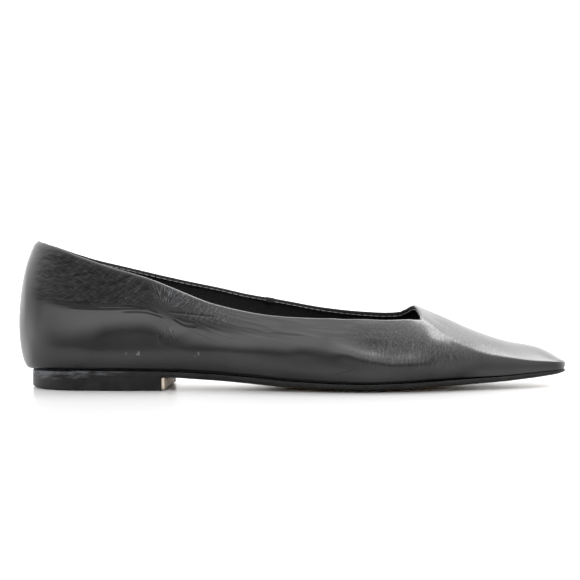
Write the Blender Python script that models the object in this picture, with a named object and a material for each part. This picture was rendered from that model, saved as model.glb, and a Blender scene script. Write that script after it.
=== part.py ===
"""Low-heeled square-toe pump for the right foot, built on a curved last.

The shoe lies along +X with its toe at +X, its outer (lateral) side at -Y and its sole on z = 0.
Every piece is worked out from sections square to one curved spine that runs from heel to toe.
"""
import math

import bmesh
import bpy
import numpy as np

MM = 0.001

# Driving dimensions, in millimetres and degrees
HEEL_AXIS = -3.5            # heading of the heel, towards the outer side
FOREPART_AXIS = 7.5         # heading of the forepart, towards the inner side
BEND_START, BEND_END = 70.0, 170.0
SPINE_LENGTH = 270.0
HEEL_CENTRE = 32.0          # where the round of the heel meets the straight sides
TOE_CENTRE = 257.0          # where the sides start to turn round the toe corners
THROAT = 190.0              # where the opening stops and the vamp starts
FEATHER_BACK = 25.4         # heel round of the feather line, behind HEEL_CENTRE
FEATHER_FRONT = 5.5         # toe corner of the feather line, ahead of TOE_CENTRE
TOP_BACK = 23.3             # heel round of the collar edge
TOP_FRONT = 6.3             # toe corner of the shoulder line
WALL = 1.5                  # thickness of the upper
GAP = 0.3                   # space between pieces that meet
SOLE_MARGIN = 0.6           # how far the outsole stands out from the feather line
INSOLE_INSET = 2.0
INSOLE_FRONT_INSET = 4.0
INSOLE_THICKNESS = 2.0
BREAST = 71.1               # front face of the heel
BREAST_THICKNESS = 1.0
BREAST_CLEARANCE = 0.5      # from the floor to the lower edge of the breast cover
BREAST_INSET = 0.6
HEEL_WEAR = 0.9             # how far the back of the heel is worn up from the floor
HEEL_WEAR_RUN = 13.0

# Shape of the wall between the feather line and the top edge
SWELL_SKEW = 0.868          # below 1 the fullest level lies under mid height
SWELL_LOW = 0.56            # roundness where the sides turn out of the sole
SWELL_LOW_BACK = 0.38       # roundness where the back of the heel turns out of the sole
SWELL_COLLAR = 0.56         # roundness where the back of the collar turns in
SWELL_SIDE = 1.0            # roundness at the top of the sides

# Steps along and across
SPINE_POINTS = 541
HEEL_STEPS = 8
HEEL_SIDE_STEPS = 4
QUARTER_STEPS = 19
VAMP_STEPS = 9
TOE_STEPS = 4
WALL_LEVELS = (0.0, 0.05, 0.13, 0.25, 0.40, 0.56, 0.72, 0.87, 1.0)
VAMP_COLUMNS = 14
SOLE_COLUMNS = 8
MERGE = 0.01                # points closer than this are one point
SHARP_ANGLE = 40.0          # edges that turn more than this are shaded sharp

# The feather line and outsole: half widths, height of the edge, hollow of the middle, thickness
SOLE_FIELDS = ("s", "outer", "inner", "height", "crown", "thick")
SOLE = (
    (6.0, 24.6, 24.6, 8.5, 0.0, 2.6),
    (32.0, 24.6, 24.6, 9.2, 0.0, 2.6),
    (46.0, 25.2, 25.0, 9.3, 0.0, 2.6),
    (70.0, 23.4, 23.2, 8.8, 0.2, 2.7),
    (90.0, 20.8, 21.0, 7.8, 0.6, 3.1),
    (110.0, 23.6, 22.0, 6.4, 1.2, 3.1),
    (130.0, 29.2, 25.2, 4.6, 1.8, 2.8),
    (150.0, 36.0, 29.6, 3.8, 2.1, 2.6),
    (163.0, 38.4, 32.4, 3.6, 2.1, 2.7),
    (175.0, 38.2, 34.2, 3.9, 2.3, 2.8),
    (193.0, 35.6, 35.2, 4.8, 2.5, 2.8),
    (212.0, 31.0, 31.4, 5.5, 1.9, 2.9),
    (228.0, 26.4, 26.6, 6.0, 1.2, 2.8),
    (244.0, 21.8, 21.8, 7.0, 0.6, 2.7),
    (252.0, 19.5, 19.5, 7.5, 0.3, 2.4),
    (257.0, 18.2, 18.0, 7.8, 0.2, 2.1),
    (264.0, 16.4, 16.2, 8.4, 0.0, 1.6),
)

# The top edge of the wall: collar behind the throat, shoulder of the vamp ahead of it
TOP_FIELDS = ("s", "outer", "inner", "outer_height", "inner_height", "outer_swell", "inner_swell")
TOP = (
    (10.0, 20.8, 20.8, 69.7, 69.7, 8.1, 8.1),
    (22.0, 20.8, 20.8, 66.4, 64.6, 6.0, 6.0),
    (32.0, 20.8, 20.8, 63.0, 61.3, 4.6, 4.6),
    (48.0, 21.6, 21.8, 57.9, 57.6, 4.2, 4.2),
    (65.0, 22.0, 22.6, 53.2, 53.8, 4.3, 4.3),
    (80.0, 21.8, 23.6, 48.0, 50.5, 4.8, 4.4),
    (95.0, 22.0, 24.8, 42.6, 47.4, 5.0, 4.4),
    (110.0, 22.8, 26.0, 38.9, 44.1, 5.2, 4.6),
    (130.0, 25.0, 28.0, 35.6, 40.7, 6.0, 5.0),
    (150.0, 27.4, 29.6, 34.0, 37.4, 6.6, 5.4),
    (170.0, 28.4, 28.8, 33.4, 35.4, 7.2, 6.0),
    (182.0, 26.8, 26.4, 33.7, 34.9, 7.4, 6.6),
    (191.0, 24.4, 23.4, 33.0, 35.3, 7.2, 6.6),
    (205.0, 28.2, 27.2, 22.6, 23.0, 2.8, 2.7),
    (217.0, 27.6, 26.8, 17.8, 18.0, 1.3, 1.3),
    (233.0, 24.2, 23.6, 15.0, 15.0, 0.8, 0.8),
    (247.0, 20.6, 20.2, 13.0, 13.0, 0.5, 0.5),
    (257.0, 17.9, 17.5, 12.4, 12.4, 0.4, 0.4),
    (264.0, 16.1, 15.7, 11.9, 11.9, 0.3, 0.3),
)

# Height of the vamp along its middle, and how full its arch is: 1 is a plain roof, 2 a round arch
RIDGE_FIELDS = ("s", "height", "arch")
RIDGE = (
    (191.0, 39.3, 1.20),
    (200.0, 35.7, 1.30),
    (209.0, 31.8, 1.40),
    (218.0, 27.8, 1.45),
    (228.0, 24.1, 1.50),
    (238.0, 21.2, 1.50),
    (248.0, 19.4, 1.50),
    (252.0, 18.4, 1.50),
    (257.0, 16.3, 1.50),
    (263.3, 12.6, 1.50),
)
RIDGE_SOFTNESS = 0.15       # how rounded the very top of the vamp is

OUTER, INNER = -1, 1        # side of the spine: outer is -Y, inner is +Y


def smooth(table, fields, name, s):
    """Read one column of a table at s, on a smooth curve that never overshoots its rows."""
    rows = np.array(table)
    knots, values = rows[:, 0], rows[:, fields.index(name)]
    steps = np.diff(knots)
    rises = np.diff(values) / steps
    slopes = np.concatenate(([rises[0]], np.zeros(len(values) - 2), [rises[-1]]))
    for i in range(1, len(values) - 1):
        before, after = rises[i - 1], rises[i]
        if before * after > 0:
            slopes[i] = 2 * before * after / (before + after)
    i = int(np.clip(np.searchsorted(knots, s) - 1, 0, len(steps) - 1))
    t = float(np.clip((s - knots[i]) / steps[i], 0.0, 1.0))
    start = (1 + 2 * t) * (1 - t) ** 2 * values[i] + t * (1 - t) ** 2 * steps[i] * slopes[i]
    end = t * t * (3 - 2 * t) * values[i + 1] + t * t * (t - 1) * steps[i] * slopes[i + 1]
    return start + end


def sole_size(name, s):
    return smooth(SOLE, SOLE_FIELDS, name, s)


def top_size(name, s):
    return smooth(TOP, TOP_FIELDS, name, s)


def side_name(side):
    return "inner" if side == INNER else "outer"


def make_spine():
    """Points and headings along the curved middle line of the shoe."""
    s = np.linspace(0.0, SPINE_LENGTH, SPINE_POINTS)
    t = np.clip((s - BEND_START) / (BEND_END - BEND_START), 0.0, 1.0)
    turn = (FOREPART_AXIS - HEEL_AXIS) * t * t * (3 - 2 * t)
    heading = np.radians(HEEL_AXIS + turn)
    step = s[1] - s[0]
    x = np.concatenate(([0.0], np.cumsum(np.cos(heading[:-1]) * step)))
    y = np.concatenate(([0.0], np.cumsum(np.sin(heading[:-1]) * step)))
    return s, x, y, heading


SPINE = make_spine()


def on_spine(s):
    """Place on the spine, its forward direction and its direction towards the inner side."""
    stations, x, y, heading = SPINE
    angle = float(np.interp(s, stations, heading))
    place = np.array([np.interp(s, stations, x), np.interp(s, stations, y), 0.0])
    forward = np.array([math.cos(angle), math.sin(angle), 0.0])
    inward = np.array([-math.sin(angle), math.cos(angle), 0.0])
    return place, forward, inward


def sections():
    """Sections from the back of the heel to the toe front, each a zone and a value in it."""
    heel = [("heel", angle) for angle in np.linspace(0, math.pi / 2, HEEL_STEPS + 1)[:-1]]
    sides = [("side", s) for s in np.linspace(HEEL_CENTRE, THROAT, QUARTER_STEPS + 1)]
    sides += [("side", s) for s in np.linspace(THROAT, TOE_CENTRE, VAMP_STEPS + 1)[1:]]
    toe = [("toe", angle) for angle in np.linspace(0, math.pi / 2, TOE_STEPS + 1)[1:]]
    return heel + sides + toe


def plan(section, back, front, half_at):
    """Distance along the spine, half width and facing angle of an outline at a section."""
    zone, value = section
    if zone == "heel":
        s = HEEL_CENTRE - back * math.cos(value)
        return s, half_at(HEEL_CENTRE) * math.sin(value), math.pi - value
    if zone == "toe":
        s = TOE_CENTRE + front * math.sin(value)
        return s, half_at(s) - front * (1 - math.cos(value)), math.pi / 2 - value
    return value, half_at(value), math.pi / 2


def feather_plan(section, side, margin=0.0):
    name = side_name(side)
    return plan(section, FEATHER_BACK + margin, FEATHER_FRONT + margin,
                lambda s: sole_size(name, s) + margin)


def top_plan(section, side):
    name = side_name(side)
    return plan(section, TOP_BACK, TOP_FRONT, lambda s: top_size(name, s))


def place(s, half, side, height):
    point, _, inward = on_spine(s)
    return point + side * half * inward + np.array([0.0, 0.0, height])


def facing(s, angle, side):
    """Level direction at an angle from straight ahead, turned to one side."""
    _, forward, inward = on_spine(s)
    return math.cos(angle) * forward + side * math.sin(angle) * inward


def swell(v, turned):
    """How full the wall stands at level v, from 0 at its edges to 1; turned is 0 at the back and 1 at the sides."""
    if v <= 0.0 or v >= 1.0:
        return 0.0
    low = SWELL_LOW_BACK + (SWELL_LOW - SWELL_LOW_BACK) * turned
    high = SWELL_COLLAR + (SWELL_SIDE - SWELL_COLLAR) * turned
    return math.sin(math.pi * v ** SWELL_SKEW) ** (low + (high - low) * v)


def wall_ends(section, side):
    """Foot and top edge of the wall at a section, its facing direction, fullness and turn from the back."""
    s_foot, half_foot, angle = feather_plan(section, side)
    s_top, half_top, _ = top_plan(section, side)
    foot = place(s_foot, half_foot, side, sole_size("height", s_foot) + GAP)
    top = place(s_top, half_top, side, top_size(side_name(side) + "_height", s_top))
    out = facing(s_foot, angle, side)
    fullness = top_size(side_name(side) + "_swell", s_top)
    turned = math.sin(angle) ** 2 if section[0] == "heel" else 1.0
    return foot, top, out, fullness, turned


def wall_points(foot, top, out, fullness, turned):
    return [foot + v * (top - foot) + out * fullness * swell(v, turned) for v in WALL_LEVELS]


def vamp_points(section):
    """Arched row of points over the vamp, from the outer shoulder to the inner one."""
    start, end = (wall_ends(section, side)[1] for side in (OUTER, INNER))
    s = top_plan(section, OUTER)[0]
    rise = smooth(RIDGE, RIDGE_FIELDS, "height", s) - (start[2] + end[2]) / 2
    arch = smooth(RIDGE, RIDGE_FIELDS, "arch", s)
    points = []
    for c in np.linspace(-1.0, 1.0, VAMP_COLUMNS + 1):
        out = math.hypot(c, RIDGE_SOFTNESS) - RIDGE_SOFTNESS
        out /= math.hypot(1.0, RIDGE_SOFTNESS) - RIDGE_SOFTNESS
        point = start + (c + 1) / 2 * (end - start)
        points.append(point + np.array([0.0, 0.0, rise * (1.0 - out ** arch)]))
    return points


def front_wall_points(section):
    """Rows of points of the toe's front wall, one row for each column of the vamp."""
    ends = [wall_ends(section, side) for side in (OUTER, INNER)]
    tops = vamp_points(section)
    rows = []
    for t, top in zip(np.linspace(0.0, 1.0, VAMP_COLUMNS + 1), tops):
        foot = (1 - t) * ends[0][0] + t * ends[1][0]
        fullness = (1 - t) * ends[0][3] + t * ends[1][3]
        rows.append(wall_points(foot, top, ends[0][2], fullness, 1.0))
    return rows


def add_grid(mesh, rows):
    """Join rows of points with quads; equal points are merged later."""
    verts = [[mesh.verts.new(tuple(point * MM)) for point in row] for row in rows]
    for row, after in zip(verts, verts[1:]):
        for i in range(len(row) - 1):
            mesh.faces.new((row[i], row[i + 1], after[i + 1], after[i]))


def finish_mesh(mesh, name, material, parent):
    """Merge equal points, turn the faces outwards and make the named object."""
    bmesh.ops.remove_doubles(mesh, verts=mesh.verts, dist=MERGE * MM)
    bmesh.ops.dissolve_degenerate(mesh, edges=mesh.edges, dist=MERGE * MM / 2)
    bmesh.ops.recalc_face_normals(mesh, faces=mesh.faces)
    data = bpy.data.meshes.new(name)
    mesh.to_mesh(data)
    mesh.free()
    data.shade_smooth()
    data.set_sharp_from_angle(angle=math.radians(SHARP_ANGLE))
    data.materials.append(material)
    piece = bpy.data.objects.new(name, data)
    bpy.context.collection.objects.link(piece)
    piece.parent = parent
    return piece


def make_upper(parent):
    """Hollow lasted shell: wall round the foot, vamp over the toes, open collar and underside."""
    ring = sections()
    mesh = bmesh.new()
    for side in (OUTER, INNER):
        add_grid(mesh, [wall_points(*wall_ends(section, side)) for section in ring])
    vamp = ring[HEEL_STEPS + QUARTER_STEPS:]
    add_grid(mesh, [vamp_points(section) for section in vamp])
    add_grid(mesh, front_wall_points(ring[-1]))
    upper = finish_mesh(mesh, "upper", leather("upper_leather", (0.012, 0.012, 0.014), 0.33), parent)
    shell = upper.modifiers.new("wall", "SOLIDIFY")
    shell.thickness = WALL * MM
    shell.offset = -1.0
    shell.use_quality_normals = True
    return upper


def sole_row(section, margin, surface):
    """Points straight across the sole at a section, at the height that surface gives."""
    edges = [feather_plan(section, side, margin) for side in (OUTER, INNER)]
    s = edges[0][0]
    row = []
    for c in np.linspace(-1.0, 1.0, SOLE_COLUMNS + 1):
        half = -edges[0][1] * max(-c, 0.0) + edges[1][1] * max(c, 0.0)
        row.append(place(s, half, INNER, surface(s, c)))
    return row


def outsole_top(s, c):
    return sole_size("height", s) - sole_size("crown", s) * (1 - c * c)


def outsole_bottom(s, c):
    """Underside of the outsole, flattened where it rests on the floor."""
    return max(outsole_top(s, c) - sole_size("thick", s), 0.0)


def add_plate(mesh, rings, margin, upper_face, lower_face):
    """Closed plate between two surfaces over the same outline."""
    top = [sole_row(section, margin, upper_face) for section in rings]
    bottom = [sole_row(section, margin, lower_face) for section in rings]
    add_grid(mesh, top)
    add_grid(mesh, bottom)
    for column in (0, -1):
        add_grid(mesh, [[a[column], b[column]] for a, b in zip(top, bottom)])
    for end in (0, -1):
        add_grid(mesh, [top[end], bottom[end]])


def make_outsole(parent):
    mesh = bmesh.new()
    add_plate(mesh, sections(), SOLE_MARGIN, outsole_top, outsole_bottom)
    return finish_mesh(mesh, "outsole", leather("sole_leather", (0.36, 0.25, 0.16), 0.6), parent)


def make_insole(parent):
    """Footbed that lies on the outsole, drawn back from the walls and the toe."""
    front = TOE_CENTRE + FEATHER_FRONT - INSOLE_FRONT_INSET
    rings = [section for section in sections() if section[0] != "toe"]
    rings.append(("side", front))

    def lower(s, c):
        return outsole_top(s, c) + GAP

    def upper(s, c):
        return lower(s, c) + INSOLE_THICKNESS

    mesh = bmesh.new()
    add_plate(mesh, rings, -INSOLE_INSET, upper, lower)
    return finish_mesh(mesh, "insole", leather("lining_leather", (0.02, 0.02, 0.022), 0.55), parent)


def heel_sections():
    heel = [section for section in sections() if section[0] == "heel"]
    return heel + [("side", s) for s in np.linspace(HEEL_CENTRE, BREAST, HEEL_SIDE_STEPS + 1)]


def heel_top(s, c):
    return outsole_bottom(s, c) - GAP


def heel_bottom(s, c):
    """Flat on the floor, worn up a little at the very back."""
    back = HEEL_CENTRE - FEATHER_BACK - SOLE_MARGIN
    worn = max(1.0 - (s - back) / HEEL_WEAR_RUN, 0.0)
    return HEEL_WEAR * worn ** 2


def make_heel_block(parent):
    mesh = bmesh.new()
    add_plate(mesh, heel_sections(), SOLE_MARGIN, heel_top, heel_bottom)
    return finish_mesh(mesh, "heel_block", leather("heel_black", (0.015, 0.015, 0.016), 0.45), parent)


def make_heel_breast(parent):
    """Thin cover on the front face of the heel."""
    rear = BREAST + GAP
    rings = [("side", rear), ("side", rear + BREAST_THICKNESS)]
    mesh = bmesh.new()
    add_plate(mesh, rings, SOLE_MARGIN - BREAST_INSET, heel_top, lambda s, c: BREAST_CLEARANCE)
    return finish_mesh(mesh, "heel_breast", leather("breast_tan", (0.46, 0.33, 0.22), 0.65), parent)


def leather(name, colour, roughness):
    material = bpy.data.materials.new(name)
    material.use_nodes = True
    shader = material.node_tree.nodes["Principled BSDF"]
    shader.inputs["Base Color"].default_value = (*colour, 1.0)
    shader.inputs["Roughness"].default_value = roughness
    shader.inputs["Metallic"].default_value = 0.0
    return material


def centre_on_origin(parent, pieces):
    """Shift the shoe so that the middle of its box stands over the origin."""
    bpy.context.view_layer.update()
    graph = bpy.context.evaluated_depsgraph_get()
    points = np.vstack([
        np.array([vertex.co[:] for vertex in piece.evaluated_get(graph).data.vertices])
        for piece in pieces
    ])
    middle = (points.min(axis=0) + points.max(axis=0)) / 2
    parent.location = (-middle[0], -middle[1], 0.0)


def main():
    for old in list(bpy.data.objects):
        bpy.data.objects.remove(old, do_unlink=True)
    last = bpy.data.objects.new("last", None)
    bpy.context.collection.objects.link(last)
    makers = (make_upper, make_outsole, make_insole, make_heel_block, make_heel_breast)
    pieces = [make(last) for make in makers]
    centre_on_origin(last, pieces)


main()
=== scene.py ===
"""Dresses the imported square-toe pump: creased leather upper, lining, worn sole and heel, white studio.

The surfaces repeat the part's own sections at a finer spacing, in millimetres in the shoe's frame:
x forward from the heel, y towards the inner side, z up. They are shifted to the part's place at the end.
"""
import math

import bmesh
import bpy
import numpy as np
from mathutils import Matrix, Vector


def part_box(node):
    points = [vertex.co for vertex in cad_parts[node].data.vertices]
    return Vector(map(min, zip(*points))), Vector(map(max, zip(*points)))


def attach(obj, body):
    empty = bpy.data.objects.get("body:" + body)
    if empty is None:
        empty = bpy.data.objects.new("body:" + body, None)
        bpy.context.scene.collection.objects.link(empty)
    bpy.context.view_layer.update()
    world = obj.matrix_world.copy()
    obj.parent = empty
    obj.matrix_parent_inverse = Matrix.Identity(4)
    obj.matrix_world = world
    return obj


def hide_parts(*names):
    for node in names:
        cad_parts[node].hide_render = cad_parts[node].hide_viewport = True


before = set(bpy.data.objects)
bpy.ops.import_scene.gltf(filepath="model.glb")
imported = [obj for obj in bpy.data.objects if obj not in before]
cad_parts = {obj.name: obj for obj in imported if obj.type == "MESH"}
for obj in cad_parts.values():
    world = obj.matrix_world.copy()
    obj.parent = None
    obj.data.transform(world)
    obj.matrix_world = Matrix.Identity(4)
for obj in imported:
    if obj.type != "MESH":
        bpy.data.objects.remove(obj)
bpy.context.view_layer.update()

MM = 0.001
OUTER, INNER = -1, 1            # side of the spine: outer is -Y, inner is +Y
HEEL, SIDE, TOE = 0, 1, 2       # zones of a section
MIX_FACTOR, MIX_FIRST, MIX_SECOND, MIX_RESULT = 0, 6, 7, 2      # sockets of a mix node for colours

# Driving dimensions of the last, the same as the part's, in millimetres and degrees
HEEL_AXIS = -3.5
FOREPART_AXIS = 7.5
BEND_START, BEND_END = 70.0, 170.0
SPINE_LENGTH = 270.0
SPINE_POINTS = 541
HEEL_CENTRE = 32.0
TOE_CENTRE = 257.0
THROAT = 190.0
FEATHER_BACK = 25.4
FEATHER_FRONT = 5.5
TOP_BACK = 23.3
TOP_FRONT = 6.3
GAP = 0.3
SOLE_MARGIN = 0.6
INSOLE_FRONT_INSET = 4.0
INSOLE_THICKNESS = 2.0
BREAST = 71.1
BREAST_THICKNESS = 1.0
BREAST_CLEARANCE = 0.5
BREAST_INSET = 0.6
HEEL_WEAR = 0.9
HEEL_WEAR_RUN = 13.0
SWELL_SKEW = 0.868
SWELL_LOW = 0.56
SWELL_LOW_BACK = 0.38           # fuller foot round the back of the heel
SWELL_COLLAR = 0.56
SWELL_SIDE = 1.0
RIDGE_SOFTNESS = 0.15

SOLE_FIELDS = ("s", "outer", "inner", "height", "crown", "thick")
SOLE = (
    (6.0, 24.6, 24.6, 8.5, 0.0, 2.6),
    (32.0, 24.6, 24.6, 9.2, 0.0, 2.6),
    (46.0, 25.2, 25.0, 9.3, 0.0, 2.6),
    (70.0, 23.4, 23.2, 8.8, 0.2, 2.7),
    (90.0, 20.8, 21.0, 7.8, 0.6, 3.1),
    (110.0, 23.6, 22.0, 6.4, 1.2, 3.1),
    (130.0, 29.2, 25.2, 4.6, 1.8, 2.8),
    (150.0, 36.0, 29.6, 3.8, 2.1, 2.6),
    (163.0, 38.4, 32.4, 3.6, 2.1, 2.7),
    (175.0, 38.2, 34.2, 3.9, 2.3, 2.8),
    (193.0, 35.6, 35.2, 4.8, 2.5, 2.8),
    (212.0, 31.0, 31.4, 5.5, 1.9, 2.9),
    (228.0, 26.4, 26.6, 6.0, 1.2, 2.8),
    (244.0, 21.8, 21.8, 7.0, 0.6, 2.7),
    (252.0, 19.5, 19.5, 7.5, 0.3, 2.4),
    (257.0, 18.2, 18.0, 7.8, 0.2, 2.1),
    (264.0, 16.4, 16.2, 8.4, 0.0, 1.6),
)
TOP_FIELDS = ("s", "outer", "inner", "outer_height", "inner_height", "outer_swell", "inner_swell")
TOP = (
    (10.0, 20.8, 20.8, 69.7, 69.7, 8.1, 8.1),
    (22.0, 20.8, 20.8, 66.4, 64.6, 6.0, 6.0),
    (32.0, 20.8, 20.8, 63.0, 61.3, 4.6, 4.6),
    (48.0, 21.6, 21.8, 57.9, 57.6, 4.2, 4.2),
    (65.0, 22.0, 22.6, 53.2, 53.8, 4.3, 4.3),
    (80.0, 21.8, 23.6, 48.0, 50.5, 4.8, 4.4),
    (95.0, 22.0, 24.8, 42.6, 47.4, 5.0, 4.4),
    (110.0, 22.8, 26.0, 38.9, 44.1, 5.2, 4.6),
    (130.0, 25.0, 28.0, 35.6, 40.7, 6.0, 5.0),
    (150.0, 27.4, 29.6, 34.0, 37.4, 6.6, 5.4),
    (170.0, 28.4, 28.8, 33.4, 35.4, 7.2, 6.0),
    (182.0, 26.8, 26.4, 33.7, 34.9, 7.4, 6.6),
    (191.0, 24.4, 23.4, 33.0, 35.3, 7.2, 6.6),
    (205.0, 28.2, 27.2, 22.6, 23.0, 2.8, 2.7),
    (217.0, 27.6, 26.8, 17.8, 18.0, 1.3, 1.3),
    (233.0, 24.2, 23.6, 15.0, 15.0, 0.8, 0.8),
    (247.0, 20.6, 20.2, 13.0, 13.0, 0.5, 0.5),
    (257.0, 17.9, 17.5, 12.4, 12.4, 0.4, 0.4),
    (264.0, 16.1, 15.7, 11.9, 11.9, 0.3, 0.3),
)
RIDGE_FIELDS = ("s", "height", "arch")
RIDGE = (
    (191.0, 39.3, 1.20),
    (200.0, 35.7, 1.30),
    (209.0, 31.8, 1.40),
    (218.0, 27.8, 1.45),
    (228.0, 24.1, 1.50),
    (238.0, 21.2, 1.50),
    (248.0, 19.4, 1.50),
    (252.0, 18.4, 1.50),
    (257.0, 16.3, 1.50),
    (263.3, 12.6, 1.50),
)

# Spacing of the points, in steps: fine leather, coarser lining, sole, heel and breast cover
LEATHER_STEPS = {"heel": 44, "quarter": 190, "vamp": 84, "toe": 10, "levels": 46, "columns": 56}
LINING_STEPS = {"heel": 22, "quarter": 96, "vamp": 42, "toe": 6, "levels": 24, "columns": 28}
SOLE_STEPS = {"heel": 40, "quarter": 100, "vamp": 50, "toe": 10}
SOLE_COLUMNS = 24
HEEL_STEPS = {"round": 40, "side": 23}
BREAST_STEPS = 3
LEVEL_CROWDING = 0.35           # how much closer the rows stand at the foot and the top of a wall
MERGE = 0.001                   # points this close are one
FAR_AHEAD = 1000.0              # stands for points that aren't on the vamp

# Softening of the shoulder between wall and vamp
SHOULDER_ROUNDS = 40
SHOULDER_MOVE = 0.5             # share of the way to its neighbours' middle that a point goes in a round
SHOULDER_LEAD = 14              # sections behind the throat over which the softening sets in
SHOULDER_VAMP = 0.35            # width of the soft strip at the throat, as a share of half the vamp
SHOULDER_WALL = 0.3             # its width below that, as a share of the wall's height
SHOULDER_TOE = 0.12             # share of both widths that is left at the toe

# Layers of the upper
LEATHER = 0.8                   # thickness of the leather
LINING_FACE = 1.5               # depth of the lining's face under the outside
LINING_BACK = 1.0               # depth of its back
LINING_TUCK = 0.4               # how far the lining's edge stays below the collar
UPPER_LIFT = 0.05               # from the sole's edge up to the foot of the leather
FOLD_RADIUS = 0.85              # round of the leather where it folds over the collar
FOLD_POINTS = 7
FOLD_TURN = 140.0               # degrees from the outside over the edge to where the band inside begins
FOLD_GLOSSY = 4                 # steps of the fold as glossy as the outside; its rest and the band are dull
# Outline of the band that the fold ends in: how far inward and up from the collar's edge
BAND = (
    (1.85, 0.05),
    (2.10, -0.35),
    (2.14, -0.55),
    (2.05, -0.72),
    (1.85, -0.80),
    (1.58, -0.78),
    (1.58, -0.10),
)
JOIN = (117.8, 122.4)           # where the band's two ends overlap on the inner side
JOIN_FADE = 0.6
JOIN_SIZE = 0.45                # how much thicker the edge is there, as a share
THROAT_NOTCH = 1.2              # how far the middle of the throat lies ahead of its corners
THROAT_CORNER = 0.25            # share of half the throat over which the round of the fold sets in
THROAT_RUN = 24                 # rows of the vamp over which the notch fades
# The collar comes down by the round of its fold, over these sections at the heel and at the throat's corners
COLLAR_BACK_RUN = {OUTER: 60.0, INNER: 14.0}
COLLAR_FRONT_RUN = 12.0
COLLAR_POWER = 6                # how closely that keeps to the edge

# Stitches along the band
STITCH_PITCH = 3.0
STITCH_LENGTH = 2.9
STITCH_RADIUS = 0.20
STITCH_DROP = 0.25              # from the collar edge down to the stitches
STITCH_DEPTH = 2.20             # from the outside in to the stitches
STITCH_RINGS = 6
STITCH_SIDES = 6

# Edges of sole, heel, sock and breast cover, from the top: distance out from the feather line, share of the
# way down
SOLE_EDGE = (
    (0.0, 0.0),
    (0.4, 0.03),
    (0.6, 0.14),
    (0.6, 0.34),
    (0.6, 0.52),
    (0.3, 0.6),
    (-1.2, 0.8),
    (-3.6, 1.0),
)
HEEL_EDGE = ((0.6, 0.0), (0.6, 0.02), (0.6, 0.3), (0.6, 0.6), (0.6, 0.9), (0.5, 0.98), (0.3, 1.0))
SOCK_EDGE = ((-2.6, 0.0), (-2.2, 0.05), (-2.0, 0.3), (-2.0, 1.0))
BREAST_EDGE = ((0.0, 0.0), (0.0, 0.3), (0.0, 0.7), (0.0, 1.0))
SEAT_SHARE = 0.5                # share of the sole's thickness below which its edge is upright over the heel
SEAT_LAP = 0.5                  # how far in front of the heel that ends
HEEL_SEAM = 0.005               # gap from the sole down to the heel
BREAST_SEAM = 0.02              # gap from the sole down to the breast cover
BREAST_BACK = 0.05              # gap from the heel forward to the breast cover
UNDERSIDE = 1                   # patch of a plate that faces the floor
BLACK_MARGIN_COLUMNS = 1                # columns of the sole's underside that are black along each edge

# Noises: features for each metre, and detail
TONE_NOISE = (60.0, 5.0)
GRAIN_NOISE = (1400.0, 3.0)
PEBBLE_NOISE = (700.0, 4.0)
PAINT_NOISE = (140.0, 6.0)
SCUFF_NOISE = (1.0, 6.0)        # in coordinates that are stretched beforehand
BLOTCH_NOISE = (320.0, 7.0)
WEAR_NOISE = (1.0, 3.0)         # in the coordinates of each pattern of wear
WEAR_DISTORTION = 0.4
WORN_ROUGHNESS = 0.65           # how ragged scuffs and blotches are
PORE_SCALE = 1900.0

# Look of the upper's leather
LEATHER_DARK = (0.006, 0.006, 0.0065)
LEATHER_LIGHT = (0.010, 0.0098, 0.010)
LEATHER_ROUGHNESS = 0.30
TONE_RANGE = (0.35, 0.7)        # range of the tone noise from the dark colour to the light one
GRAIN_DEPTH = 0.030
# Pale strokes on the wrinkle crests: partly worn finish, partly painted highlight
STROKE = (0.51, 0.68)           # range of the wear noise over which a stroke turns pale
FURROW = (0.72, 0.26)           # range over which a furrow's gloss is lowered into painted shade
PALE = (0.115, 0.120, 0.130, 1.0)
GLOSS, GLOSS_DEEP = 0.5, 0.08   # specular level of open leather, and the lower level that paints shade at the bottom of creases
CREASE_SHADE = 4.0               # painted shade, as lowered gloss, for each millimetre of a crease's depth

# Nicks in the outer side: x, z, radius and strength
NICKS = (
    (58.7, 17.0, 0.7, 0.20),
    (59.1, 17.5, 0.7, 0.26),
    (59.6, 18.0, 0.7, 0.22),
    (53.1, 17.3, 0.9, 0.07),
    (87.1, 17.2, 0.6, 0.20),
    (87.0, 17.7, 0.6, 0.20),
    (85.4, 16.6, 0.6, 0.08),
)
NICK_CORE = 0.3                 # share of the radius within which a nick has its full strength
NICK_COLOUR = (0.30, 0.30, 0.29, 1.0)

# Plain leathers and thread: dark and light colour, roughness, specular level and strength of the grain
PLAIN_LEATHERS = {
    "dull_band": (LEATHER_DARK, LEATHER_LIGHT, 0.55, 0.12, 0.4),
    "black_lining": ((0.0012, 0.0012, 0.0014), (0.0024, 0.0024, 0.0026), 0.85, 0.5, 0.3),
    "grey_thread": ((0.10, 0.10, 0.10), (0.16, 0.158, 0.154), 0.6, 0.5, 0.3),
    "tan_sole": ((0.52, 0.37, 0.23), (0.66, 0.49, 0.33), 0.6, 0.5, 0.3),
    "black_sock": ((0.012, 0.012, 0.013), (0.022, 0.021, 0.021), 0.55, 0.5, 0.3),
}
PORE_DEPTH = 0.2
PEBBLE_DEPTH = 0.4

# Black paint of the sole's edge and the heel, scuffed grey along the top at the back
PAINT_DARK = (0.005, 0.005, 0.005)
PAINT_LIGHT = (0.012, 0.012, 0.012)
PAINT_RANGE = (0.35, 0.75)
PAINT_ROUGHNESS = 0.5
PAINT_GLOSS = 0.2
SCUFF_RANGE = (12.0, 115.0)     # from where the heel is most scuffed to where it is clean
SCUFF_HEIGHTS = (-0.5, 8.6)     # from where it is clean up to where it is most scuffed
SCUFF_SCALES = (150.0, 150.0, 600.0)
SCUFF_EDGE = (0.30, 0.50)       # range of the scuff noise over which the paint turns grey
SCUFF_COLOUR = (0.062, 0.065, 0.072, 1.0)
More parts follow.
